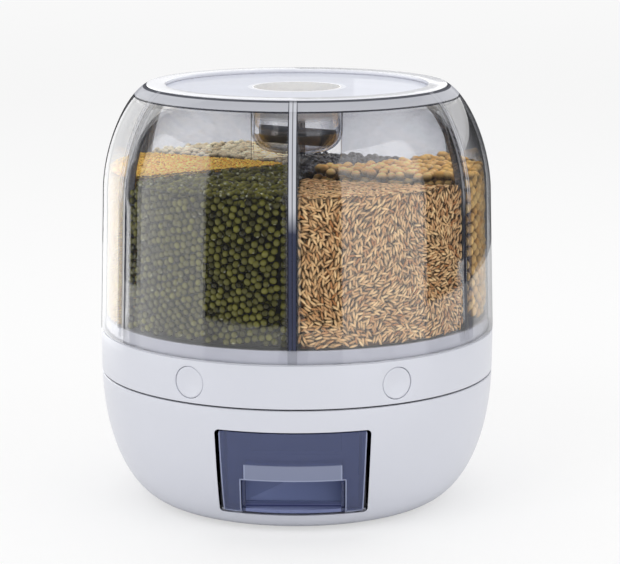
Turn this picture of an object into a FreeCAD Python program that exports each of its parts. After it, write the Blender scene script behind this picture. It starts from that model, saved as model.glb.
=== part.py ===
import FreeCAD, Part

import math
import os

V = FreeCAD.Vector
UP = V(0, 0, 1)

# Rotating dispenser for dry food, in millimetres. The front is towards -Y and up is +Z. The origin
# is on the table, under the middle of the base. A clear drum of six compartments turns on a
# bowl-shaped base. Six sprung buttons each open one gate, and the food falls into a drawer.

# Whole object. Cutters run past the faces that they cut by "over".
compartments = 6
drum_radius = 140.0
easy_fit = 0.3
close_fit = 0.1
running_fit = 0.05
over = 1.0
edge_round = 0.5

# Base bowl
foot_height = 1.5
foot_chamfer = 0.5
base_rim_round = 0.8
base_height = 92.9
base_rim_step = 0.4
base_floor_radius = 95.5
base_wall = 2.6
bowl_lean = 1.3
bowl_side_length = 58.3
bowl_heel_length = 19.5
foot_radius = 9.0
foot_recess = 1.0
foot_inset = 17.5
foot_angles = {"left_front": -45, "right_front": 45, "right_back": 135, "left_back": -135}

# Drawer opening in the bowl, and the drawer
opening_top_width = 105.4
opening_bottom_width = 100.6
opening_bottom = 14.5
opening_drop = 15.0
opening_corner = 3.0
opening_depth = 60.0
drawer_corner = 2.0
drawer_side_gap = 2.8
drawer_bottom_gap = 1.7
drawer_top_gap = 1.0
drawer_front_inset = 0.2
drawer_front_wall = 2.6
drawer_wall = 2.2
drawer_width = 93.0
drawer_back = 19.5
drawer_rim_drop = 0.8
drawer_travel = 100.0
notch_width = 70.6
notch_top = 42.2
notch_lip_step = 1.2
pocket_width = 65.0
pocket_top = 55.0
pocket_depth = 30.0
pocket_sill = 4.0
pocket_sill_depth = 2.0

# Drawer bay inside the base
bay_wall = 2.0
bay_side_clearance = 0.7
bay_back_clearance = 1.5
bay_top_gap = 0.8
runner_width = 6.0
runner_height = 2.2
runner_spacing = 76.0
bay_ear_width = 12.0
bay_screw_rows = (32.0, 84.0)

# Base deck
deck_recess = 1.1
deck_wall = 3.0
deck_edge_gap = 1.0
deck_boss_radius = 6.0
deck_boss_height = 4.0
column_radius = 5.0
column_inset = 12.0
column_angles = (40, 80, 120, 160, 200, 240, 280, 320)
column_foot = 5.0
centre_boss_radius = 12.0
centre_boss_height = 11.8
chute_width = 50.0
chute_depth = 19.0
chute_wall = 2.0
chute_drop = 12.0

# Ball bearing between deck and drum
ball_diameter = 6.35
ball_count = 24
track_gap = 13.5
track_groove = 0.5
cage_width = 9.0
cage_thickness = 2.3

# Spindle
spindle_radius = 5.0
spindle_flange_radius = 9.5
spindle_flange_thickness = 2.5
spindle_thread_radius = 4.0
thread_chamfer = 0.6
washer_radius = 8.5
washer_thickness = 1.5
nut_across_flats = 13.0
nut_height = 5.5
thread_stand_out = 1.2
hub_counterbore_radius = 9.0
hub_counterbore_depth = 11.0
bush_wall = 2.0

# Collar
seam_gap = 1.0
collar_height = 29.5
collar_bottom_step = 0.3
collar_top_step = 0.1
collar_wall = 2.6
collar_lip_depth = 3.3
collar_lip_wall = 2.4
collar_lip_height = 6.4
ledge_width = 6.5
ledge_thickness = 2.4
ear_width = 12.0

# Buttons and gates
button_radius = 10.8
button_rise = 14.1
button_length = 13.6
button_inset = 0.4
button_wall = 2.0
button_front_wall = 4.0
button_edge_round = 0.7
button_edge_land = 1.2
button_dimple_depth = 1.0
sleeve_wall = 1.8
travel = 12.0
gate_width = 40.0
gate_thickness = 2.0
gate_play = 0.2
gate_land = 2.5
tongue_width = 16.0
tongue_gap = 1.0
lug_thickness = 2.6
lug_width = 14.0
lug_height = 13.0
spigot_length = 4.0
rail_width = 2.0
rail_reach = 13.0
spring_room = 20.1
spring_post_thickness = 2.0
spring_post_width = 12.0
spring_radius = 3.2
spring_wire_radius = 0.4
spring_end_gap = 0.2
spring_turns = 7
spring_steps = 12
spring_wire_sides = 6

# Outlet plate
outlet_inset = 69.0
outlet_width = 34.0
outlet_depth = 11.0
plate_thickness = 2.4
plate_edge = 14.5
plate_bore_radius = 16.0
chassis_screw_inset = 5.5
chassis_screw_sink = 0.9

# Hopper tray, and the six-armed ridge on it. The floor slopes, so its wall is thicker when measured
# upright.
band_height = 9.6
tray_wall = 2.2
tray_wall_upright = 2.6
tray_rim_wall = 2.2
tray_rim_drop = 2.0
trough_margin = 6.0
hub_radius = 13.0
ridge_crest = 4.0
ridge_foot = 36.0
ridge_wall = 3.3
ridge_core_start = 22.0
ridge_end_wall = 16.2
screw_column_radius = 4.5

# Clear shell
gasket_thickness = 0.8
gasket_inset = 0.8
shell_wall = 3.0
shoulder_height = 95.1
shell_draft = 2.7
dome_side_length = 31.6
mouth_edge_radius = 107.0
dome_height = 76.1
dome_rim_out = 15.0
dome_rim_drop = 8.8
seat_drop = 2.0
seat_thickness = 2.6
neck_height = 4.9
neck_wall = 2.6
neck_step = 5.4
rib_depth = 6.0
rib_thickness = 1.6

# Divider star
vane_thickness = 2.2
vane_fit = 0.4
vane_drop = 5.3
column_outer_radius = 9.0
column_wall = 2.0
column_drop = 10.8
well_clearance = 4.0

# Lid
lid_edge_gap = 1.0
lid_rise = 1.1
lid_rim_width = 13.5
lid_skirt_gap = 2.0
lid_skirt_wall = 2.3
lid_skirt_height = 7.0
lid_edge_round = 1.0
panel_thickness = 2.4
well_radius = 32.5
well_depth = 45.5
well_wall = 2.0
well_round = 15.0
grip_thickness = 9.0
grip_height = 11.5
grip_lift = 3.0
grip_round = 3.0
grip_angle = -30
seal_height = 3.6
seal_drop = 1.0

# Fasteners
screw_head_radius = 2.8
screw_head_height = 1.8
screw_radius = 1.5
screw_slot = 0.8
screw_bite = 12.0
chassis_screw_length = 28.0
pilot_gap = 0.1
pilot_spare = 2.0

# Levels, from the table up
opening_top = base_height - opening_drop
deck_top = base_height - deck_recess
deck_bottom = deck_top - deck_wall
column_top = deck_bottom - deck_boss_height
bay_top = deck_top - chute_drop - bay_top_gap
plate_bottom = deck_top - 2 * track_groove + ball_diameter + 2 * close_fit
plate_top = plate_bottom + plate_thickness
gate_bottom = plate_top + gate_play
gate_top = gate_bottom + gate_thickness
tray_bottom = gate_top + gate_play
trough_level = tray_bottom + tray_wall
collar_bottom = base_height + seam_gap
collar_top = collar_bottom + collar_height
button_level = collar_bottom + button_rise
rim_top = collar_top + band_height
shell_bottom = collar_top + gasket_thickness
shoulder_level = shell_bottom + shoulder_height
dome_top = shoulder_level + dome_height
seat_level = dome_top - seat_drop
lid_top = dome_top + lid_rise
lid_underside = seat_level + gate_play
panel_top = lid_underside - close_fit
panel_bottom = panel_top - panel_thickness
well_bottom = panel_top - well_depth
divider_bottom = rim_top + gate_play
vane_top = seat_level - neck_height - vane_drop
star_column_top = well_bottom - column_drop

# Radial places
base_rim_radius = drum_radius - base_rim_step
collar_bottom_radius = drum_radius - collar_bottom_step
collar_top_radius = drum_radius - collar_top_step
shoulder_radius = drum_radius - shell_draft
foot_circle = base_floor_radius - foot_inset
pocket_back = drum_radius - pocket_depth
lip_outer = base_rim_radius - base_wall - 2 * easy_fit
lip_inner = lip_outer - collar_lip_wall
deck_radius = lip_inner - deck_edge_gap
column_circle = deck_radius - column_inset
outlet_circle = drum_radius - outlet_inset
rail_inner_start = outlet_circle - rail_reach
track_radius = outlet_circle + chute_depth / 2 + chute_wall + track_gap
plate_radius = track_radius + plate_edge
chassis_screw_circle = plate_radius - chassis_screw_inset
lid_radius = mouth_edge_radius - lid_edge_gap
neck_radius = lid_radius - neck_step
button_face = collar_bottom_radius - button_inset
button_back = button_face - button_length
button_back_pressed = button_back - travel
lug_inner = button_back - lug_thickness
spring_post_radius = lug_inner - spring_room
tongue_start = spring_post_radius + tongue_gap
outlet_inner = outlet_circle - outlet_depth / 2
outlet_outer = outlet_circle + outlet_depth / 2
trough_inner = outlet_inner - trough_margin
trough_outer = outlet_outer + trough_margin
rim_outer = drum_radius - shell_wall - 2 * easy_fit
rim_inner = rim_outer - tray_rim_wall
ridge_core_end = rim_inner - ridge_end_wall
knee_radius = button_back_pressed
knee_level = button_level + button_radius + 2 * easy_fit + 2 * tray_wall
floor_slope = (knee_level - trough_level) / (knee_radius - trough_outer)
lid_skirt_outer = neck_radius - lid_skirt_gap
lid_skirt_inner = lid_skirt_outer - lid_skirt_wall
pitch = 360.0 / compartments
vane_angles = [i * pitch for i in range(compartments)]
gate_angles = [(i + 0.5) * pitch for i in range(compartments)]


# Shape helpers. Pieces that repeat round the drum are drawn at the front and turned by an angle,
# which counts from the front towards +X.
def at(radius, level):
    """A point of a turned outline."""
    return V(radius, 0, level)


def curve(*poles):
    """A smooth edge from its first pole to its last."""
    bezier = Part.BezierCurve()
    bezier.setPoles(list(poles))
    return bezier.toShape()


def corner(centre, radius, start, end):
    """A round edge in the plane of a turned outline, from one angle to another in degrees."""
    points = []
    for angle in (start, (start + end) / 2, end):
        turn = math.radians(angle)
        points.append(centre + V(radius * math.cos(turn), 0, radius * math.sin(turn)))
    return Part.Arc(*points).toShape()


def closed_wire(parts):
    """Joins points and edges, in order, into a closed wire."""
    edges = []
    first = None
    last = None
    for part in list(parts) + [None]:
        if part is None:
            start, end = first, first
        elif isinstance(part, V):
            start, end = part, part
        else:
            start, end = part.valueAt(part.FirstParameter), part.valueAt(part.LastParameter)
        if last is not None and start.distanceToPoint(last) > 1e-6:
            edges.append(Part.makeLine(last, start))
        if part is not None and not isinstance(part, V):
            edges.append(part)
        first = start if first is None else first
        last = end
    return Part.Wire(edges)


def turned(*parts):
    """A solid of revolution about the upright axis."""
    return Part.Face(closed_wire(parts)).revolve(V(), UP, 360)


def disc(radius, bottom, top):
    return Part.makeCylinder(radius, top - bottom, V(0, 0, bottom))


def ring(inner, outer, bottom, top):
    return disc(outer, bottom, top).cut(disc(inner, bottom, top))


def block(width, near, far, bottom, top):
    """A box across the front, from one distance to another ahead of the axis."""
    return Part.makeBox(width, far - near, top - bottom, V(-width / 2, -far, bottom))


def upright(radius, distance, bottom, top):
    """An upright cylinder ahead of the axis."""
    return Part.makeCylinder(radius, top - bottom, V(0, -distance, bottom))


def radial(radius, near, far, level):
    """A cylinder that lies along the front radius."""
    return Part.makeCylinder(radius, far - near, V(0, -near, level), V(0, -1, 0))


def turn(shape, angle):
    """A copy of a shape, turned about the upright axis."""
    copy = shape.copy()
    copy.rotate(V(), UP, angle)
    return copy


def round_copies(shape, angles):
    return [turn(shape, angle) for angle in angles]


def joined(first, *rest):
    """One body out of several shapes, without inner seams."""
    return first.fuse(list(rest)).removeSplitter()


def turn_about_y(turns):
    """A unit step across the front radius, after a number of turns about it."""
    return V(math.cos(2 * math.pi * turns), 0, math.sin(2 * math.pi * turns))


def reach(point):
    """How far a point lies from the upright axis."""
    return math.hypot(point.x, point.y)


def rounded(shape, radius, wanted):
    """A copy with round edges, at the edges that a test accepts at points all along them."""
    edges = [edge for edge in shape.Edges if all(wanted(point) for point in edge.discretize(9))]
    return shape.makeFillet(radius, edges)


def prism(points, start, end):
    """A shape with an outline across the front, between two distances ahead of the axis."""
    wire = Part.makePolygon([V(x, -start, z) for x, z in points + points[:1]])
    return Part.Face(wire).extrude(V(0, start - end, 0))


def screw(length):
    """A pan head screw with a slot, head up, its head's seat at the origin."""
    head = disc(screw_head_radius, 0, screw_head_height)
    head = head.makeFillet(screw_head_height / 2, [head.Edges[0]])
    slot = Part.makeBox(4 * screw_head_radius, screw_slot, screw_slot,
                        V(-2 * screw_head_radius, -screw_slot / 2, screw_head_height - screw_slot))
    shank = disc(screw_radius, -length, 0)
    return joined(head, shank).cut(slot)


def placed(shape, x, y, z):
    copy = shape.copy()
    copy.translate(V(x, y, z))
    return copy


# Bowl: the surfaces of the base at a depth below its outside
def bowl(inset, top):
    """The filled bowl, a given depth inside its outer surface, up to a level."""
    side = curve(at(base_rim_radius - inset, base_height),
                 at(base_rim_radius - bowl_lean - inset, base_height - bowl_side_length),
                 at(base_floor_radius + bowl_heel_length - inset / 2, foot_height + inset),
                 at(base_floor_radius, foot_height + inset))
    return turned(at(0, top), at(base_rim_radius - inset, top), side, at(0, foot_height + inset))


def opening_outline(side_gap, bottom_gap, top_gap, radius):
    """The drawer opening's outline, pulled in by gaps, as an upright prism through the front wall."""
    half_top = opening_top_width / 2 - side_gap
    half_bottom = opening_bottom_width / 2 - side_gap
    low = opening_bottom + bottom_gap
    high = opening_top - top_gap
    outline = prism([(-half_bottom, low), (half_bottom, low), (half_top, high), (-half_top, high)],
                    drum_radius - opening_depth, drum_radius + over)
    long_edges = [e for e in outline.Edges if abs(e.tangentAt(e.FirstParameter).y) > 0.99]
    return outline.makeFillet(radius, long_edges)


# Base
def base_shell():
    shape = bowl(0, base_height).cut(bowl(base_wall, base_height + over))
    column = upright(column_radius, column_circle, column_foot, column_top)
    bay_boss = disc(column_radius, foot_height + base_wall / 2, opening_bottom - bay_wall)
    supports = round_copies(column, column_angles) + at_bay_screws(bay_boss)
    inside = bowl(base_wall / 2, base_height)
    shape = joined(shape, *[part.common(inside) for part in supports])
    shape = rounded(shape, base_rim_round,
                    lambda p: p.z > base_height - close_fit and reach(p) > base_rim_radius - close_fit)
    pilot_radius = screw_radius + pilot_gap
    pilot = upright(pilot_radius, column_circle, column_top - screw_bite - pilot_spare, column_top + over)
    bay_pilot = disc(pilot_radius, foot_height + base_wall, opening_bottom - bay_wall + over)
    recess = upright(foot_radius + close_fit, foot_circle, 0, foot_height + foot_recess)
    cuts = round_copies(pilot, column_angles) + at_bay_screws(bay_pilot)
    cuts += round_copies(recess, foot_angles.values())
    return shape.cut(cuts + [opening_outline(0, 0, 0, opening_corner)])


def rubber_foot(angle):
    foot = upright(foot_radius, foot_circle, 0, foot_height + foot_recess - close_fit)
    foot = foot.makeChamfer(foot_chamfer, [e for e in foot.Edges if e.CenterOfMass.z < close_fit])
    return turn(foot, angle)


def bay_inner_half():
    return drawer_width / 2 + bay_side_clearance


def at_bay_screws(shape):
    """Copies of a shape at the four screws that hold the drawer bay."""
    side_place = bay_inner_half() + bay_wall + bay_ear_width / 2
    return [placed(shape, side * side_place, -row, 0) for side in (-1, 1) for row in bay_screw_rows]


def drawer_bay():
    floor_top = opening_bottom
    floor_bottom = floor_top - bay_wall
    back = drawer_back - bay_back_clearance
    tub = block(2 * (bay_inner_half() + bay_wall), back - bay_wall, drum_radius,
                floor_bottom, bay_top)
    tub = tub.cut(block(2 * bay_inner_half(), back, drum_radius + over, floor_top, base_height))
    runner = block(runner_width, back, drum_radius, floor_top, floor_top + runner_height)
    runners = [placed(runner, side * runner_spacing / 2, 0, 0) for side in (-1, 1)]
    ear = block(bay_ear_width, -bay_ear_width / 2, bay_ear_width / 2, floor_bottom, floor_top)
    shape = joined(tub, *runners, *at_bay_screws(ear)).common(bowl(base_wall + easy_fit, base_height))
    return shape.cut(at_bay_screws(disc(screw_radius + close_fit, floor_bottom - over, floor_top + over)))


def bay_screws():
    one = screw(opening_bottom - foot_height - base_wall - pilot_spare / 2)
    return Part.makeCompound(at_bay_screws(placed(one, 0, 0, opening_bottom)))


def track_cut(level):
    """The round groove that the balls run in, above or below a face."""
    return Part.makeTorus(track_radius, ball_diameter / 2 + close_fit, V(0, 0, level))


def ball_level():
    return deck_top - track_groove + close_fit + ball_diameter / 2


def base_deck():
    shape = disc(deck_radius, deck_bottom, deck_top)
    boss = upright(deck_boss_radius, column_circle, column_top, deck_bottom)
    centre = disc(centre_boss_radius, deck_top - centre_boss_height, deck_top)
    chute_near = outlet_circle - chute_depth / 2
    chute_far = outlet_circle + chute_depth / 2
    chute = block(chute_width + 2 * chute_wall, chute_near - chute_wall, chute_far + chute_wall,
                  deck_top - chute_drop, plate_bottom - easy_fit)
    shape = joined(shape, centre, chute, *round_copies(boss, column_angles))
    hole = upright(screw_radius + close_fit, column_circle, column_top - over, deck_top + over)
    counterbore = upright(screw_head_radius + close_fit, column_circle,
                          deck_top - screw_head_height - close_fit, deck_top + over)
    cuts = round_copies(hole, column_angles) + round_copies(counterbore, column_angles)
    cuts.append(block(chute_width, chute_near, chute_far, deck_top - chute_drop - over, plate_bottom))
    cuts.append(disc(spindle_radius, 0, base_height))
    cuts.append(track_cut(ball_level()))
    return shape.cut(cuts)


def deck_screws():
    seat = deck_top - screw_head_height - close_fit
    one = placed(screw(seat - column_top + screw_bite), 0, -column_circle, seat)
    return Part.makeCompound(round_copies(one, column_angles))


def shoulder_top():
    return rim_top - hub_counterbore_depth + easy_fit


def spindle():
    flange_top = deck_top - centre_boss_height
    thread_top = shoulder_top() + washer_thickness + nut_height + thread_stand_out
    flange = disc(spindle_flange_radius, flange_top - spindle_flange_thickness, flange_top)
    shank = disc(spindle_radius, flange_top, shoulder_top())
    thread = disc(spindle_thread_radius, shoulder_top(), thread_top)
    thread = thread.makeChamfer(thread_chamfer, [thread.Edges[0]])
    return joined(flange, shank, thread)


def spindle_washer():
    return ring(spindle_thread_radius, washer_radius, shoulder_top(), shoulder_top() + washer_thickness)


def spindle_nut():
    bottom = shoulder_top() + washer_thickness
    reach = nut_across_flats / math.sqrt(3)
    corners = [V(reach * math.cos(math.radians(60 * i)), reach * math.sin(math.radians(60 * i)), bottom)
               for i in range(7)]
    body = Part.Face(Part.makePolygon(corners)).extrude(V(0, 0, nut_height))
    return body.cut(disc(spindle_thread_radius, bottom - over, bottom + nut_height + over))


# Bearing
def ball_angles():
    return [i * 360.0 / ball_count for i in range(ball_count)]


def ball_cage():
    level = ball_level()
    cage = ring(track_radius - cage_width / 2, track_radius + cage_width / 2,
                level - cage_thickness / 2, level + cage_thickness / 2)
    hole = upright(ball_diameter / 2 + close_fit, track_radius, level - cage_thickness,
                   level + cage_thickness)
    return cage.cut(round_copies(hole, ball_angles()))


def bearing_balls():
    ball = Part.makeSphere(ball_diameter / 2, V(0, -track_radius, ball_level()))
    return Part.makeCompound(round_copies(ball, ball_angles()))


# Drum chassis
def outlet_plate():
    shape = ring(plate_bore_radius, plate_radius, plate_bottom, plate_top)
    rail_centre = gate_width / 2 + easy_fit + rail_width / 2
    rail = block(rail_width, rail_inner_start, tongue_start, plate_top, tray_bottom)
    rails = [placed(rail, side * rail_centre, 0, 0) for side in (-1, 1)]
    shape = joined(shape, *[part for r in rails for part in round_copies(r, gate_angles)])
    slot = block(outlet_width, outlet_inner, outlet_outer, plate_bottom - over, plate_top + over)
    hole = upright(screw_radius + close_fit, chassis_screw_circle, plate_bottom - over, plate_top + over)
    sink = upright(screw_head_radius + close_fit, chassis_screw_circle, plate_bottom - over,
                   plate_bottom + chassis_screw_sink)
    cuts = round_copies(slot, gate_angles)
    cuts += round_copies(hole, vane_angles) + round_copies(sink, vane_angles)
    return shape.cut(cuts + [track_cut(ball_level())])


def chassis_screws():
    one = screw(chassis_screw_length)
    one.rotate(V(), V(1, 0, 0), 180)
    one = placed(one, 0, -chassis_screw_circle, plate_bottom + chassis_screw_sink)
    return Part.makeCompound(round_copies(one, vane_angles))


def collar():
    inner_bottom = collar_bottom_radius - collar_wall
    inner_top = collar_top_radius - collar_wall
    lip_bottom = collar_bottom - collar_lip_depth
    lip_top = lip_bottom + collar_lip_height
    ledge_inner = inner_top - ledge_width
    shape = turned(at(lip_outer, lip_bottom), at(lip_outer, collar_bottom),
                   at(collar_bottom_radius, collar_bottom), at(collar_top_radius, collar_top),
                   at(ledge_inner, collar_top), at(ledge_inner, collar_top - ledge_thickness),
                   at(inner_top, collar_top - ledge_thickness), at(inner_bottom, lip_top),
                   at(lip_inner, lip_top), at(lip_inner, lip_bottom))
    bore = button_radius + easy_fit
    sleeve = radial(bore + sleeve_wall, button_back + gate_play, inner_bottom + over, button_level)
    ear = block(ear_width, chassis_screw_circle - ear_width / 2, inner_bottom + over, plate_top, tray_bottom)
    shape = joined(shape, *round_copies(sleeve, gate_angles), *round_copies(ear, vane_angles))
    hole = radial(bore, button_back - over, drum_radius + over, button_level)
    screw_hole = upright(screw_radius + close_fit, chassis_screw_circle, plate_top - over, tray_bottom + over)
    shape = shape.cut(round_copies(hole, gate_angles) + round_copies(screw_hole, vane_angles))
    return rounded(shape, edge_round,
                   lambda p: p.z > collar_bottom - close_fit and reach(p) > collar_bottom_radius - close_fit)


def tray_surface(drop):
    """The tray's floor from rim to hub, lowered by a wall thickness, as outline points."""
    return [at(rim_inner, rim_top - tray_rim_drop - drop), at(knee_radius, knee_level - drop),
            at(trough_outer, trough_level - drop), at(trough_inner, trough_level - drop),
            at(hub_radius, rim_top - tray_rim_drop - drop)]


def above_floor(drop):
    """Everything above the tray's floor and below the crest of its ridges."""
    return turned(at(0, rim_top), at(rim_outer, rim_top),
                  at(rim_outer, rim_top - tray_rim_drop - drop), *tray_surface(drop),
                  at(0, rim_top - tray_rim_drop - drop))


def ridge(crest, foot, top, start, end):
    """A roof-shaped prism under a vane, from one radius to another."""
    points = [(-foot / 2, tray_bottom), (foot / 2, tray_bottom), (crest / 2, top), (-crest / 2, top)]
    return prism(points, start, end)


def drum_floor():
    rim = ring(rim_inner, rim_outer, collar_top, rim_top)
    floor = above_floor(tray_wall_upright).cut(above_floor(0)).common(disc(rim_outer, tray_bottom, rim_top))
    hub = disc(hub_radius, tray_bottom, rim_top)
    under_floor = turned(at(0, tray_bottom), at(rim_inner, tray_bottom), *tray_surface(close_fit))
    column = upright(screw_column_radius, chassis_screw_circle, tray_bottom, rim_top)
    post_middle = spring_post_radius - spring_post_thickness / 2
    post_top = knee_level - (knee_radius - post_middle) * floor_slope - tray_wall_upright / 2
    post = block(spring_post_width, spring_post_radius - spring_post_thickness, spring_post_radius,
                 tray_bottom, post_top)
    columns = [part.common(under_floor) for part in round_copies(column, vane_angles)]
    shape = joined(rim, floor, hub, *columns, *round_copies(post, gate_angles))
    slot = block(outlet_width, outlet_inner, outlet_outer, tray_bottom - over, trough_level + over)
    hole = upright(screw_radius + close_fit, chassis_screw_circle, tray_bottom - over, rim_top)
    cuts = round_copies(slot, gate_angles) + round_copies(hole, vane_angles)
    cuts.append(disc(spindle_radius + running_fit + bush_wall, tray_bottom - over, rim_top + over))
    cuts.append(disc(hub_counterbore_radius, rim_top - hub_counterbore_depth, rim_top + over))
    return shape.cut(cuts)


def hopper_ridges():
    room = ring(hub_radius + close_fit, rim_inner - easy_fit, tray_bottom, rim_top)
    room = room.common(above_floor(-close_fit))
    roofs = round_copies(ridge(ridge_crest, ridge_foot, rim_top, 0, rim_outer), vane_angles)
    core_foot = ridge_foot - 2 * ridge_wall
    core = ridge(ridge_crest / 2, core_foot, rim_top - ridge_wall, ridge_core_start, ridge_core_end)
    column = upright(screw_column_radius, chassis_screw_circle, tray_bottom, rim_top - tray_wall)
    shape = joined(*[part.common(room) for part in roofs]).cut(round_copies(core, vane_angles))
    shape = joined(shape, *[part.common(room) for part in round_copies(column, vane_angles)])
    pilot = upright(screw_radius + pilot_gap, chassis_screw_circle, tray_bottom,
                    plate_bottom + chassis_screw_sink + chassis_screw_length + pilot_spare)
    return shape.cut(round_copies(pilot, vane_angles))


def hub_bush():
    bore = spindle_radius + running_fit
    return ring(bore, bore + bush_wall, tray_bottom, rim_top - hub_counterbore_depth)


# Clear shell
def dome(inset, bottom):
    """The filled drum, a given depth inside the shell's outer surface."""
    rim_slope = math.atan2(dome_rim_drop, dome_rim_out)
    in_and_down = at(-inset * math.sin(rim_slope), -inset * math.cos(rim_slope))
    shoulder = at(shoulder_radius - inset, shoulder_level)
    top = curve(shoulder, shoulder + at(0, dome_side_length),
                at(mouth_edge_radius + dome_rim_out, dome_top - dome_rim_drop) + in_and_down,
                at(mouth_edge_radius, dome_top) + in_and_down)
    slope = (drum_radius - shoulder_radius) / shoulder_height
    foot = drum_radius + slope * (shell_bottom - bottom) - inset
    end = at(mouth_edge_radius, dome_top) + in_and_down
    return turned(at(0, bottom), at(foot, bottom), top, at(0, end.z))


def bin_shell():
    wall = dome(0, shell_bottom).cut(dome(shell_wall, shell_bottom - over))
    seat_ring = disc(drum_radius, seat_level - seat_thickness, seat_level)
    seat_ring = seat_ring.common(dome(shell_wall / 2, shell_bottom))
    neck = disc(neck_radius + neck_wall, seat_level - neck_height, seat_level)
    between = dome(shell_wall / 2, rim_top + easy_fit).cut(dome(shell_wall + rib_depth, rim_top))
    offset = vane_thickness / 2 + vane_fit + rib_thickness / 2
    rib = block(rib_thickness, 0, drum_radius, rim_top + easy_fit, seat_level - neck_height)
    ribs = [placed(rib, side * offset, 0, 0) for side in (-1, 1)]
    ribs = [part.common(between) for r in ribs for part in round_copies(r, vane_angles)]
    shape = joined(wall, seat_ring, neck, *ribs)
    return shape.cut([disc(neck_radius, seat_level - neck_height - over, dome_top + over),
                      disc(lid_radius + easy_fit, seat_level, dome_top + over)])


def shell_gasket():
    outer = collar_top_radius - gasket_inset
    return ring(drum_radius - shell_wall + easy_fit, outer, collar_top, shell_bottom)


def divider_star():
    limit = dome(shell_wall + vane_fit, divider_bottom)
    vane = block(vane_thickness, 0, drum_radius, divider_bottom, vane_top)
    vanes = [part.common(limit) for part in round_copies(vane, vane_angles)]
    top = star_column_top
    radius = column_outer_radius
    column = turned(at(0, divider_bottom), at(radius, divider_bottom),
                    corner(at(0, top - radius), radius, 0, 90))
    bore = turned(at(0, divider_bottom - over), at(radius - column_wall, divider_bottom - over),
                  corner(at(0, top - radius), radius - column_wall, 0, 90))
    well_room = disc(well_radius + well_clearance, well_bottom - well_clearance, dome_top)
    shape = joined(column, *[part.cut(well_room) for part in vanes])
    return shape.cut(bore)


# Gates
def gate_slider(angle):
    plate = block(gate_width, outlet_inner - gate_land, tongue_start, gate_bottom, gate_top)
    tongue = block(tongue_width, tongue_start - over, button_back, gate_bottom, gate_top)
    lug = block(lug_width, lug_inner, button_back, gate_bottom, gate_bottom + lug_height)
    spigot = radial(button_radius - button_wall - close_fit, button_back - over,
                    button_back + spigot_length, button_level)
    spigot = spigot.common(block(drum_radius, 0, drum_radius, gate_bottom, collar_top))
    shape = joined(plate, tongue, lug, spigot)
    hole = block(outlet_width, outlet_inner + travel, outlet_outer + travel,
                 gate_bottom - over, gate_top + over)
    return turn(shape.cut(hole), angle)


def button(angle):
    body = radial(button_radius, button_back, drum_radius, button_level)
    body = body.common(disc(button_face, collar_bottom, collar_top))
    body = rounded(body, button_edge_round, lambda p: reach(p) > button_face - close_fit)
    hollow = radial(button_radius - button_wall, button_back - over, button_face - button_front_wall,
                    button_level)
    sag = button_dimple_depth
    half = button_radius - button_edge_land
    dish_radius = (half * half + sag * sag) / (2 * sag)
    dish = Part.makeSphere(dish_radius, V(0, -(button_face + dish_radius - sag), button_level))
    return turn(body.cut([hollow, dish]), angle)


def gate_spring(angle):
    """A coil of round wire, as a loft through sections all along its helix."""
    start = spring_post_radius + spring_end_gap + spring_wire_radius
    length = lug_inner - spring_end_gap - spring_wire_radius - start
    sections = []
    step_count = spring_turns * spring_steps
    for step in range(step_count + 1):
        out = turn_about_y(step / spring_steps)
        centre = V(0, -start - length * step / step_count, button_level) + out * spring_radius
        corners = [centre + out * (spring_wire_radius * math.cos(2 * math.pi * side / spring_wire_sides))
                   + V(0, spring_wire_radius * math.sin(2 * math.pi * side / spring_wire_sides), 0)
                   for side in range(spring_wire_sides + 1)]
        sections.append(Part.makePolygon(corners))
    return turn(Part.makeLoft(sections, True, True), angle)


# Lid
def lid_rim():
    outer = lid_radius
    inner = lid_radius - lid_rim_width
    skirt_bottom = lid_underside - lid_skirt_height
    edge = lid_edge_round
    return turned(at(inner, lid_underside), at(lid_skirt_inner, lid_underside),
                  at(lid_skirt_inner, skirt_bottom), at(lid_skirt_outer, skirt_bottom),
                  at(lid_skirt_outer, lid_underside), at(outer, lid_underside),
                  corner(at(outer - edge, lid_top - edge), edge, 0, 90),
                  corner(at(inner + edge, lid_top - edge), edge, 90, 180))


def well_inside(clearance):
    """The hollow of the lid's well, less a clearance."""
    radius = well_radius - well_wall - clearance
    bottom = well_bottom + well_wall + clearance
    bend = well_round - well_wall - clearance
    return turned(at(0, bottom), corner(at(radius - bend, bottom + bend), bend, -90, 0),
                  at(radius, lid_top), at(0, lid_top))


def lid_panel():
    edge = lid_skirt_inner - close_fit
    cup = turned(at(0, well_bottom),
                 corner(at(well_radius - well_round, well_bottom + well_round), well_round, -90, 0),
                 at(well_radius, panel_bottom), at(edge, panel_bottom), at(edge, panel_top), at(0, panel_top))
    return cup.cut(well_inside(0))


def lid_grip():
    bottom = well_bottom + well_wall + grip_lift
    top = bottom + grip_height
    bar = block(grip_thickness, -well_radius, well_radius, bottom, top)
    bar = rounded(bar, grip_round,
                  lambda p: p.z > top - close_fit and abs(p.x) > grip_thickness / 2 - close_fit)
    bar.rotate(V(), UP, 90 + grip_angle)
    return bar.common(well_inside(close_fit))


def lid_seal():
    top = lid_underside - seal_drop
    return ring(lid_skirt_outer + close_fit, neck_radius - easy_fit, top - seal_height, top)


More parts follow.
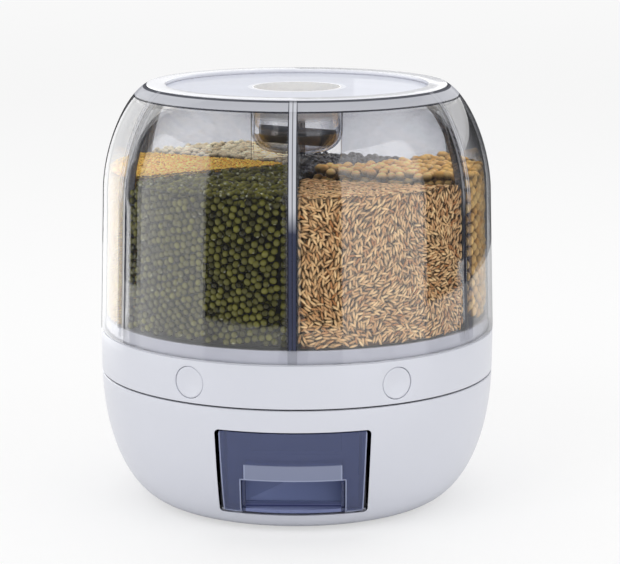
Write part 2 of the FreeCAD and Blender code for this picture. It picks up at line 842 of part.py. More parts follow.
# Drawer
def drawer_box():
    bottom = opening_bottom + runner_height + easy_fit
    top = opening_top - drawer_top_gap - drawer_rim_drop
    skin = bowl(drawer_front_inset, base_height)
    behind = bowl(drawer_front_inset + drawer_front_wall, base_height)
    floor = bottom + drawer_wall
    outline = opening_outline(drawer_side_gap, drawer_bottom_gap, drawer_top_gap, drawer_corner)
    front = skin.cut(behind).common(outline)
    tub = block(drawer_width, drawer_back, drum_radius, bottom, top)
    tub = tub.cut(block(drawer_width - 2 * drawer_wall, drawer_back + drawer_wall, drum_radius,
                        floor, top + over))
    pocket = block(pocket_width + 2 * drawer_wall, pocket_back - drawer_wall, drum_radius,
                   bottom, pocket_top + drawer_wall)
    shape = joined(front, tub.common(behind), pocket.common(behind))
    finger_room = block(pocket_width, pocket_back, drum_radius, floor, pocket_top)
    sill = block(pocket_width, pocket_back, pocket_back + pocket_sill_depth, floor, floor + pocket_sill)
    shape = shape.cut(finger_room.common(behind).cut(sill))
    notch = block(notch_width, pocket_back, drum_radius, floor, notch_top).common(skin)
    lip = block(notch_width, pocket_back, drum_radius, 0, floor + over).common(skin)
    lip = lip.cut(bowl(drawer_front_inset + notch_lip_step, base_height))
    return shape.cut([notch.cut(behind), lip]).removeSplitter()


def parts():
    """Every piece with its name."""
    made = {
        "base_shell": base_shell(),
        "base_deck": base_deck(),
        "drawer_bay": drawer_bay(),
        "bay_screws": bay_screws(),
        "deck_screws": deck_screws(),
        "spindle": spindle(),
        "spindle_washer": spindle_washer(),
        "spindle_nut": spindle_nut(),
        "ball_cage": ball_cage(),
        "bearing_balls": bearing_balls(),
        "outlet_plate": outlet_plate(),
        "chassis_screws": chassis_screws(),
        "collar": collar(),
        "drum_floor": drum_floor(),
        "hopper_ridges": hopper_ridges(),
        "hub_bush": hub_bush(),
        "shell_gasket": shell_gasket(),
        "bin_shell": bin_shell(),
        "divider_star": divider_star(),
        "lid_rim": lid_rim(),
        "lid_panel": lid_panel(),
        "lid_grip": lid_grip(),
        "lid_seal": lid_seal(),
        "drawer_box": drawer_box(),
    }
    for name, angle in foot_angles.items():
        made["foot_" + name] = rubber_foot(angle)
    for number, angle in enumerate(gate_angles, start=1):
        made[f"button_{number}"] = button(angle)
        made[f"gate_slider_{number}"] = gate_slider(angle)
        made[f"gate_spring_{number}"] = gate_spring(angle)
    return made


os.makedirs("parts", exist_ok=True)
for name, shape in parts().items():
    print(f"{name}: {len(shape.Solids)} solids, volume {shape.Volume / 1000:.1f} cm3,",
          "valid" if shape.isValid() else "NOT VALID")
    shape.exportStep(f"parts/{name}.step")
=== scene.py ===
"""Dresses the rotating dry food dispenser: finishes, clear plastics, the food in its drum and the studio."""

from __future__ import annotations

import logging
import math
from dataclasses import dataclass, field
from enum import Enum
from functools import cached_property, reduce

import bmesh
import bpy
import numpy as np
from mathutils import Matrix, Vector

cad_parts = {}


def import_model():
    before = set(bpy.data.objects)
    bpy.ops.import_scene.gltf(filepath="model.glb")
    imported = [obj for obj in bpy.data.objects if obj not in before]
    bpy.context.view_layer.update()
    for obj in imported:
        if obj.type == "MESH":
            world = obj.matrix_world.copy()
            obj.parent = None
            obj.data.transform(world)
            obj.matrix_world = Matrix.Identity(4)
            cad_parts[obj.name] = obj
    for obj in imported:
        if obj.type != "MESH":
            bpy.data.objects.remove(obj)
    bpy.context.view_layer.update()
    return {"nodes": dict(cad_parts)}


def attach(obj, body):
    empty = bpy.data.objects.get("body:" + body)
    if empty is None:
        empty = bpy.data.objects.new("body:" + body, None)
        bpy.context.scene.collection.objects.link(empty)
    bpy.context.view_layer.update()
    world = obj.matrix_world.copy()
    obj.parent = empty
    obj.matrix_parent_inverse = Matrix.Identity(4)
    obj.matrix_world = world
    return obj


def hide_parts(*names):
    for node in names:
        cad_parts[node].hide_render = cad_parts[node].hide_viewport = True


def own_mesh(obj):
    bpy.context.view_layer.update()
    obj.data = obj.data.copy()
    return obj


LOG = logging.getLogger("dispenser")
MM = 0.001
HAIR = 0.0002  # How far a painted edge takes to fade, in metres.

Spot = tuple[float, float, float]
Colour = Spot
Socket = bpy.types.NodeSocket
Term = float | Socket
Coats = list[tuple[Socket, Colour | Socket]]
Layer = tuple[np.ndarray, np.ndarray, np.ndarray]


def screen(red: int, green: int, blue: int) -> Colour:
    """Turns a colour of 0 to 255, as a screen shows it, into the linear one that shaders take."""
    return tuple(((c / 255 + 0.055) / 1.055) ** 2.4 if c > 10 else c / 255 / 12.92 for c in (red, green, blue))


def scaled(colour: Colour, share: float) -> Colour:
    """Makes a colour lighter or darker by a factor, at most white."""
    return tuple(min(1.0, c * share) for c in colour)


def bay_azimuth(number: int) -> float:
    """Gives the azimuth of a compartment's middle, in radians from the front towards +X."""
    return math.radians(60 * number - 30)


def mesh_from(name: str, bm: bmesh.types.BMesh) -> bpy.types.Mesh:
    """Turns an edit mesh, which is used up, into a plain one.

    Args:
        name: The new mesh's name.
        bm: The edit mesh.

    Returns:
        The plain mesh.
    """
    mesh = bpy.data.meshes.new(name)
    bm.to_mesh(mesh)
    bm.free()
    return mesh


def put(name: str, data: bpy.types.ID) -> bpy.types.Object:
    """Puts a new object into the scene.

    Args:
        name: The object's name.
        data: Its mesh, light or camera.

    Returns:
        The object.
    """
    thing = bpy.data.objects.new(name, data)
    bpy.context.scene.collection.objects.link(thing)
    return thing


class Bench:
    """The node tree of a new material or world, built up node by node."""

    def __init__(self, name: str, world: bool = False) -> None:
        """Starts an empty material or world.

        Args:
            name: Its name.
            world: Whether it is a world.
        """
        self.owner = (bpy.data.worlds if world else bpy.data.materials).new(name)
        self.owner.use_nodes = True
        self.tree = self.owner.node_tree
        self.tree.nodes.clear()
        self.output = self.add("OutputWorld" if world else "OutputMaterial")

    def add(self, kind: str, values: dict[str | int, object] | None = None, **settings: object) -> bpy.types.Node:
        """Adds a node.

        Args:
            kind: The node's type, without its prefix.
            values: What its inputs take: plain values, or the sockets that carry them.
            **settings: Properties of the node itself.

        Returns:
            The new node.
        """
        node = self.tree.nodes.new("ShaderNode" + kind)
        for key, value in settings.items():
            setattr(node, key, value)
        for key, value in (values or {}).items():
            target = node.inputs[key]
            if isinstance(value, Socket):
                self.tree.links.new(value, target)
            else:
                target.default_value = (*value, 1.0) if target.type == "RGBA" else value
        return node

    def finish(self, shader: bpy.types.Node) -> bpy.types.ID:
        """Sends a shader to the output and returns the material or world."""
        self.tree.links.new(shader.outputs[0], self.output.inputs["Surface"])
        return self.owner

    def principled(self, **values: object) -> bpy.types.Material:
        """Closes the material with an all-round shader; an underscore in a name stands for a space."""
        return self.finish(self.add("BsdfPrincipled", {key.replace("_", " "): v for key, v in values.items()}))

    def noise(self, scale: float, detail: float = 3.0, stretch: Spot = (1, 1, 1)) -> Socket:
        """Adds noise on the piece's own coordinates.

        Args:
            scale: How fine the noise is, per metre.
            detail: How many finer layers it has.
            stretch: How much denser it is along each axis.

        Returns:
            The socket that carries the noise, about 0.5 on average.
        """
        mapping = self.add("Mapping", {"Scale": stretch, "Vector": self.add("TexCoord").outputs["Object"]})
        values = {"Scale": scale, "Detail": detail, "Roughness": 0.55, "Vector": mapping.outputs["Vector"]}
        return self.add("TexNoise", values).outputs["Fac"]

    def bump(self, height: Socket, strength: float, distance: float) -> Socket:
        """Adds a bump from a height, of a strength and of a distance in metres, and gives its normal."""
        return self.add("Bump", {"Strength": strength, "Distance": distance, "Height": height}).outputs["Normal"]

    def between(self, amount: Socket, first: Colour | Socket, second: Colour | Socket) -> Socket:
        """Adds a colour that runs from a first, where the amount is 0, to a second, where it is 1."""
        return self.add("Mix", {"Factor": amount, "A": first, "B": second}, data_type="RGBA").outputs["Result"]

    def spread(self, amount: Socket, low: float, high: float, start: float = 0.0, end: float = 1.0) -> Socket:
        """Maps an amount between a start and an end to a number between low and high."""
        values = {"From Min": start, "From Max": end, "To Min": low, "To Max": high, "Value": amount}
        return self.add("MapRange", values).outputs["Result"]

    def rise(self, amount: Socket, start: float, length: float) -> Socket:
        """Adds a mask that rises from 0 at the start to 1 a length further on."""
        return self.spread(amount, 0, 1, start, start + length)

    def fall(self, amount: Socket, start: float, length: float) -> Socket:
        """Adds a mask that falls from 1 at the start to 0 a length further on."""
        return self.spread(amount, 1, 0, start, start + length)

    def math(self, operation: str, *terms: Term) -> Socket:
        """Adds a math node, whose terms are numbers or sockets, and gives its result."""
        return self.add("Math", dict(enumerate(terms)), operation=operation).outputs[0]

    def both(self, *terms: Term) -> Socket:
        """Multiplies terms; of masks, that is where all of them lie."""
        return reduce(lambda first, second: self.math("MULTIPLY", first, second), terms)

    def either(self, *terms: Term) -> Socket:
        """Takes the largest of the terms; of masks, that is where any of them lies."""
        return reduce(lambda first, second: self.math("MAXIMUM", first, second), terms)

    def band(self, amount: Socket, low: float, high: float, soft: float) -> Socket:
        """Adds a mask that is 1 between two values and fades out softly past them."""
        return self.both(self.rise(amount, low - soft, soft), self.fall(amount, high, soft))

    @cached_property
    def at(self) -> dict[str, Socket]:
        """Gives the place on the piece in metres.

        Returns:
            The sockets of x, y and z, and of the distance r from the upright axis.
        """
        parts = self.add("SeparateXYZ", {0: self.add("TexCoord").outputs["Object"]})
        x, y, z = (parts.outputs[i] for i in range(3))
        return {"x": x, "y": y, "z": z, "r": self.math("SQRT", self.math("ADD", self.both(x, x), self.both(y, y)))}

    def slant(self) -> Socket:
        """Gives how far the surface turns away from the eye, from 0 to 1."""
        return self.add("LayerWeight", {"Blend": 0.5}).outputs["Facing"]

    def mixed(self, amount: Socket, first: bpy.types.Node, second: bpy.types.Node) -> bpy.types.Node:
        """Mixes two shaders, by how much of the second there is."""
        return self.add("MixShader", {0: amount, 1: first.outputs[0], 2: second.outputs[0]})


@dataclass(frozen=True)
class MouldedPlastic:
    """Opaque injection-moulded plastic, with a faint mottle, a fine surface ripple, and a band of painted shade where
    one is set.
    """

    name: str
    colour: Colour
    roughness: float = 0.32
    mottle: float = 0.02
    ripple: float = 0.04
    coat: float = 0.0
    # Painted shade: a dark band between two levels, past a distance from the axis, in the dark colour.
    shade_band_levels: tuple[float, float] = (-1.0, -1.0)
    shade_band_reach: float = 0.0
    dark: Colour = (0.03, 0.03, 0.04)
    cloud: float = 22
    polish: float = 160
    pores: float = 900
    pore_depth: float = 0.0002

    def make(self) -> bpy.types.Material:
        """Builds the material, with a band of painted shade between two levels, past a distance from the axis.

        Returns:
            The material.
        """
        bench = Bench(self.name)
        colour = bench.between(bench.noise(self.cloud, 4), scaled(self.colour, 1 - self.mottle),
                               scaled(self.colour, 1 + self.mottle))
        # Paints the shade band into the colour.
        if self.shade_band_levels[1] > 0:
            band = bench.both(bench.band(bench.at["z"], *self.shade_band_levels, HAIR / 2),
                              bench.rise(bench.at["r"], self.shade_band_reach - HAIR / 2, HAIR / 2))
            colour = bench.between(band, colour, self.dark)
        roughness = bench.spread(bench.noise(self.polish, 2), self.roughness - 0.04, self.roughness + 0.04)
        normal = bench.bump(bench.noise(self.pores, 2), self.ripple, self.pore_depth)
        return bench.principled(Coat_Weight=self.coat, Coat_Roughness=0.08, IOR=1.5, Base_Color=colour,
                                Roughness=roughness, Normal=normal)


@dataclass(frozen=True)
class ClearPlastic:
    """See-through plastic. Its faces let light through with a tint, which deepens at a slant."""

    name: str
    face: Colour
    slant: Colour
    shine: float = 0.05
    slant_shine: float = 0.4
    power: float = 3.0
    tint_power: float = 3.0
    roughness: float = 0.03
    haze: float = 0.0
    haze_colour: Colour = (0.8, 0.82, 0.88)
    waviness: float = 0.02
    wave_scale: float = 9
    wave_depth: float = 0.004
    haze_scale: float = 30
    haze_swing: float = 0.1

    def make(self) -> bpy.types.Material:
        """Builds the material: tinted light through, gloss over it, and the coats over both.

        Returns:
            The material.
        """
        bench = Bench(self.name)
        slant = bench.slant()
        tint = bench.between(bench.math("POWER", slant, self.tint_strength(bench)), self.face, self.slant)
        wave = bench.bump(bench.noise(self.wave_scale, 2), self.waviness, self.wave_depth)
        gloss = bench.add("BsdfAnisotropic", {"Color": (1.0, 1.0, 1.0), "Roughness": self.roughness, "Normal": wave})
        shine = bench.spread(bench.math("POWER", slant, self.power), self.shine, self.slant_shine)
        body = bench.mixed(shine, bench.add("BsdfTransparent", {"Color": tint}), gloss)
        for amount, colour in self.coats(bench):
            body = bench.mixed(amount, body, bench.add("BsdfDiffuse", {"Color": colour}))
        return bench.finish(body)

    def tint_strength(self, bench: Bench) -> Term:
        """Gives the power of the slant at which the tint deepens, a number or a socket."""
        return self.tint_power

    def coats(self, bench: Bench) -> Coats:
        """Gives what lies over the clear body: here an even haze.

        Args:
            bench: The material.

        Returns:
            Each coat's amount and colour, the lowest first.
        """
        if not self.haze:
            return []
        low, high = self.haze * (1 - self.haze_swing), self.haze * (1 + self.haze_swing)
        return [(bench.spread(bench.noise(self.haze_scale, 3), low, high), self.haze_colour)]


@dataclass(frozen=True)
class LidPanel(ClearPlastic):
    """The lid's clear panel: hazy on top, with a painted highlight round the mouth of its finger cup, and clear
    below.
    """

    top: float = 0.289
    mouth_depth: float = 0.014
    mouth_reach: float = 0.0352
    cup_reach: float = 0.0314
    ring_strength: float = 0.3
    # Colour of the painted highlight round the cup's mouth.
    mouth_highlight_colour: Colour = (1.0, 1.0, 1.0)
    fade: float = 0.001
    cup_fade: float = 0.004

    def coats(self, bench: Bench) -> Coats:
        """Gives the haze of the top, and the painted highlight on the cup's mouth and the ring round it.

        Args:
            bench: The material.

        Returns:
            Each coat's amount and colour, the lowest first.
        """
        haze, colour = super().coats(bench)[0]
        # Painted highlight: the cup's inner wall and a ring on the top round its mouth are drawn white, broken up by
        # a swirl of painted reflection.
        foot = self.top - self.mouth_depth
        top = bench.rise(bench.at["z"], self.top - self.fade, self.fade)
        rim = bench.spread(bench.at["r"], self.ring_strength, 0, self.mouth_reach - self.fade, self.mouth_reach)
        cup = bench.both(bench.fall(bench.at["r"], self.cup_reach - HAIR, 2 * HAIR),
                         bench.rise(bench.at["z"], foot - self.cup_fade, self.cup_fade))
        highlight_swirl = bench.spread(bench.noise(55, 3, (1, 4, 4)), 0.85, 1.0, 0.35, 0.6)
        mouth = bench.both(bench.either(bench.both(top, rim), cup), highlight_swirl)
        return [(bench.both(top, haze), colour), (mouth, self.mouth_highlight_colour)]


@dataclass(frozen=True)
class DrumShell(ClearPlastic):
    """The clear drum: deeper tinted above the food as painted shade on its edges, with painted shade lines at its
    neck and painted light and shade streaks at its divider channels.
    """

    # Painted shade: between these levels the slant's dark edge widens, to this power.
    dome_foot: float = 0.23
    dome_soft: float = 0.026
    upper_foot: float = 0.214
    upper_soft: float = 0.018
    dome_end: float = 0.2865
    dome_power: float = 2.6
    channel_half: float = 0.0031
    channel_edge: float = 0.0006
    neck_foot: float = 0.2
    neck_level: float = 0.28905
    neck_reach: float = 0.1036
    neck_line: float = 0.0007
    mouth_line: float = 0.2943
    mouth_soft: float = 0.0003
    ring_strength: float = 0.85
    middle_strength: float = 0.8
    ragged: float = 0.006
    fade: float = 0.001
    neck_pale: float = 0.75
    neck_colour: Colour = (0.56, 0.57, 0.62)
    # Colour of the painted shade lines at the neck, round the mouth and on the channels.
    line: Colour = (0.03, 0.032, 0.045)
    # Painted light on the channels above the food, and painted shade below it.
    bright: Colour = (0.6, 0.61, 0.66)
    channel_shade: Colour = (0.05, 0.056, 0.095)
    streak_foot: float = 0.1345

    def tint_strength(self, bench: Bench) -> Term:
        """Gives a lower power, so a wider dark edge of painted shade, above the food.

        Args:
            bench: The material.

        Returns:
            The power's socket.
        """
        dome = bench.both(bench.rise(bench.at["z"], self.dome_foot, self.dome_soft),
                          bench.fall(bench.at["z"], self.dome_end, self.fade))
        return bench.spread(dome, self.tint_power, self.dome_power)

    def coats(self, bench: Bench) -> Coats:
        """Gives the pale mouth, the painted shade lines round it, and the painted light and shade streaks of the
        dividers' channels.

        Args:
            bench: The material.

        Returns:
            Each coat's amount and colour, the lowest first.
        """
        z, r = bench.at["z"], bench.at["r"]
        # Painted shade: dark lines at the neck's lower edge, just below the neck level outside it, and above the
        # mouth line.
        neck = bench.both(bench.band(z, self.neck_foot, self.neck_level, HAIR),
                          bench.fall(r, self.neck_reach, HAIR))
        pale = bench.spread(z, 0, self.neck_pale, self.neck_level, self.neck_level + 2 * HAIR)
        outside = bench.rise(r, self.neck_reach, self.fade)
        below = bench.band(z, self.neck_level - self.neck_line, self.neck_level - HAIR / 2, self.mouth_soft)
        above = bench.rise(z, self.mouth_line, self.mouth_soft)
        rings = bench.both(bench.either(below, above), outside, self.ring_strength)
        # Painted light and shade on the divider channels: a light streak above the food, deep shade below it, dark
        # lines at its edges and middle, fainter at a slant.
        azimuth = bench.math("ARCTAN2", bench.at["x"], bench.both(bench.at["y"], -1.0))
        gap = bench.both(r, bench.math("SINE", bench.math("PINGPONG", azimuth, math.pi / 6)))
        near = bench.fall(gap, self.channel_half - HAIR / 2, 1.5 * HAIR)
        streak = bench.both(near, outside, bench.spread(bench.slant(), 0.85, 0.3, 0.1, 0.6),
                            bench.spread(z, 0.12, 1, self.streak_foot - self.fade, self.streak_foot))
        frayed = bench.math("ADD", z, bench.both(bench.noise(60, 2), self.ragged))
        upper = bench.rise(frayed, self.upper_foot, self.upper_soft)
        edge = bench.band(gap, self.channel_half - self.channel_edge, self.channel_half, HAIR)
        lines = bench.either(edge, bench.both(bench.fall(gap, HAIR, 1.5 * HAIR), self.middle_strength))
        ground = bench.between(upper, self.channel_shade, self.bright)
        return [(pale, self.neck_colour), (neck, self.line), (rings, self.line),
                (streak, bench.between(lines, ground, self.line))]


@dataclass(frozen=True)
class SmokyPanel(ClearPlastic):
    """The drawer's smoky plastic, with a painted highlight line along the front panel's edges, paler finger parts in
    painted light, and painted shade in their creases.
    """

    half_low: float = 0.0475
    half_high: float = 0.0499
    low: float = 0.0162
    high: float = 0.0769
    line: float = 0.0007
    notch_half: float = 0.0353
    notch_top: float = 0.0422
    plate_top: float = 0.0535
    plate_inset: float = 0.0029
    front_reach: float = 0.1295
    low_front_reach: float = 0.1125
    front_soft: float = 0.0005
    pocket_half: float = 0.0322
    pocket_top: float = 0.055
    wall_at: float = -0.1125
    wall_soft: float = 0.001
    wall_foot: float = 0.0228
    sill_top: float = 0.0212
    sill_brow: tuple[float, float] = (0.0198, 0.0208)
    wall_strength: float = 0.8
    strength: float = 0.7
    crease_shade_strength: float = 0.85
    # Colours of the painted highlight lines, of the painted light on the plate, back wall and sill, and of the
    # painted shade in the creases.
    pale: Colour = (0.4, 0.44, 0.6)
    plate: Colour = (0.31, 0.34, 0.46)
    back: Colour = (0.19, 0.23, 0.42)
    sill: Colour = (0.27, 0.31, 0.54)
    crease_shade: Colour = (0.02, 0.025, 0.1)

    def coats(self, bench: Bench) -> Coats:
        """Gives the haze, the painted highlight lines on the edges, the paler plate, wall and sill that fingers reach
        for in painted light, and painted shade in their creases.

        Args:
            bench: The material.

        Returns:
            Each coat's amount and colour, the lowest first.
        """
        across, z, r = bench.math("ABSOLUTE", bench.at["x"]), bench.at["z"], bench.at["r"]
        # Painted highlight: light lines along the panel's sides and foot, the notch's jambs and brow, and round the
        # plate; painted light on the plate above the notch.
        low_edge, notch_edge, notch_brow = (v + self.line for v in (self.low, self.notch_half, self.notch_top))
        half = bench.spread(z, self.half_low, self.half_high, self.low, self.high)
        side = bench.fall(bench.math("SUBTRACT", half, across), self.line, HAIR)
        foot = bench.both(bench.fall(z, low_edge, HAIR),
                          bench.rise(across, self.notch_half - HAIR, HAIR))
        jamb = bench.both(bench.band(across, self.notch_half, notch_edge, HAIR),
                          bench.fall(z, self.notch_top, self.line))
        brow = bench.both(bench.band(z, self.notch_top, notch_brow, HAIR),
                          bench.fall(across, self.notch_half, self.line))
        plate_half = self.notch_half - self.plate_inset
        plate_band = bench.band(z, notch_brow, self.plate_top, 2 * HAIR)
        plate = bench.both(plate_band, bench.fall(across, plate_half, 2 * HAIR))
        rim = bench.both(plate_band, bench.band(across, plate_half, plate_half + self.line, HAIR))
        front = bench.rise(r, self.front_reach, self.front_soft)
        low_front = bench.rise(r, self.low_front_reach, self.front_soft)
        lines = bench.either(bench.both(bench.either(side, foot, jamb), low_front),
                             bench.both(bench.either(brow, rim), front))
        # Painted light on the pocket's back wall and sill; painted shade at the wall's foot and the sill's brow.
        within = bench.both(bench.fall(across, self.pocket_half, 2 * HAIR),
                            bench.fall(z, self.pocket_top, 2 * HAIR))
        wall = bench.both(within, bench.rise(bench.at["y"], self.wall_at, self.wall_soft))
        sill = bench.both(within, bench.fall(z, self.sill_top, 2 * HAIR))
        crease_shades = bench.either(bench.both(wall, bench.fall(z, self.wall_foot, 2 * HAIR)),
                             bench.both(within, bench.band(z, *self.sill_brow, HAIR)))
        return super().coats(bench) + [
            (bench.both(wall, self.wall_strength), self.back), (bench.both(sill, self.strength), self.sill),
            (bench.both(crease_shades, self.crease_shade_strength), self.crease_shade),
            (bench.both(plate, front, self.strength), self.plate), (bench.both(lines, self.strength), self.pale),
        ]


@dataclass(frozen=True)
class TurnedSteel:
    """Bright steel with fine turning marks."""

    name: str
    colour: Colour = (0.56, 0.57, 0.59)
    roughness: float = 0.3
    marks: float = 120

    def make(self) -> bpy.types.Material:
        """Builds the material.

        Returns:
            The material.
        """
        bench = Bench(self.name)
        marks = bench.noise(self.marks, 3, (1, 1, 14))
        roughness = bench.spread(marks, self.roughness - 0.08, self.roughness + 0.08)
        return bench.principled(Metallic=1.0, Base_Color=bench.between(marks, scaled(self.colour, 0.85), self.colour),
                                Roughness=roughness, Normal=bench.bump(marks, 0.08, 0.0002))


@dataclass(frozen=True)
class SoftRubber:
    """Matt rubber or silicone."""

    name: str
    colour: Colour
    grain: float = 700

    def make(self) -> bpy.types.Material:
        """Builds the material.

        Returns:
            The material.
        """
        bench = Bench(self.name)
        grain = bench.noise(self.grain, 3)
        colour = bench.between(grain, scaled(self.colour, 0.85), self.colour)
        return bench.principled(Roughness=0.7, Base_Color=colour, Normal=bench.bump(grain, 0.25, 0.0003))


@dataclass(frozen=True)
class FoodSkin:
    """The skin of a bean or grain, by its own "tone", "mark" and "shade" attributes."""

    name: str
    dark: Colour
    light: Colour
    mark: Colour
    roughness: float = 0.4
    fleck: float = 900

    def make(self) -> bpy.types.Material:
        """Builds the material.

        Returns:
            The material.
        """
        bench = Bench(self.name)
        tone, mark, shade = (bench.add("Attribute", attribute_name=key).outputs for key in ("tone", "mark", "shade"))
        skin = bench.between(mark["Fac"], bench.between(tone["Fac"], self.dark, self.light), self.mark)
        shaded = bench.add("Mix", {"Factor": 1.0, "A": skin, "B": shade["Color"]}, data_type="RGBA",
                           blend_type="MULTIPLY")
        fleck = bench.noise(self.fleck, 2)
        return bench.principled(Specular_IOR_Level=0.5, Base_Color=shaded.outputs["Result"],
                                Roughness=bench.spread(fleck, self.roughness - 0.08, self.roughness + 0.08),
                                Normal=bench.bump(fleck, 0.15, 0.0003))


class Finish(Enum):
    """Every finish on the dispenser."""

    WHITE = MouldedPlastic("white_moulding", screen(213, 215, 224), coat=0.2)
    # Painted shadow: a dark band on the collar's lower lip.
    COLLAR = MouldedPlastic("collar_moulding", screen(213, 215, 224), coat=0.2, shade_band_levels=(0.08, 0.0941),
                            shade_band_reach=0.12, dark=screen(96, 98, 108))
    INNER_WHITE = MouldedPlastic("inner_white_moulding", screen(216, 217, 224), 0.45)
    # Painted shade: dark inside the gap round the drawer.
    BAY = MouldedPlastic("bay_moulding", screen(216, 217, 224), 0.45, shade_band_levels=(0.01, 0.08), shade_band_reach=0.116,
                         dark=screen(24, 26, 34))
    # Painted light: drawn lighter than the other white mouldings, for the light on the lid. Painted shade: a dark
    # band on the rim's lower outer side.
    LID_WHITE = MouldedPlastic("lid_white_moulding", screen(236, 237, 243), 0.25, coat=0.3,
                               shade_band_levels=(0.29, 0.2956), shade_band_reach=0.1055, dark=screen(70, 72, 80))
    SLIDE = MouldedPlastic("slide_moulding", screen(236, 234, 226), 0.5)
    CLEAR = DrumShell("clear_drum", (0.975, 0.975, 0.98), (0.06, 0.065, 0.09), 0.045, 0.55, 3.0, 6.0)
    VANE = ClearPlastic("clear_divider", (0.95, 0.955, 0.97), (0.2, 0.21, 0.26), 0.04, 0.35, 4.0, 4.0)
    LID_CLEAR = LidPanel("clear_lid", (0.93, 0.935, 0.95), (0.5, 0.51, 0.56), 0.05, 0.5, 2.0, 2.0,
                         haze=0.6, haze_colour=screen(232, 235, 246))
    FROSTED = ClearPlastic("frosted_tray", (0.84, 0.85, 0.9), (0.66, 0.68, 0.76), 0.04, 0.2, haze=0.85,
                           haze_colour=screen(206, 208, 220))
    SMOKY = SmokyPanel("smoky_drawer", screen(206, 210, 226), screen(120, 128, 168), 0.05, 0.4, haze=0.42,
                       haze_colour=screen(96, 106, 148))
    DARK_SMOKY = ClearPlastic("dark_smoky_grip", screen(120, 122, 130), screen(60, 62, 70), 0.08, 0.5, haze=0.8,
                              haze_colour=screen(82, 84, 92))
    STEEL = TurnedSteel("bright_steel")
    FOOT = SoftRubber("foot_rubber", screen(150, 151, 156))
    SEAL = SoftRubber("seal_rubber", screen(214, 216, 224))


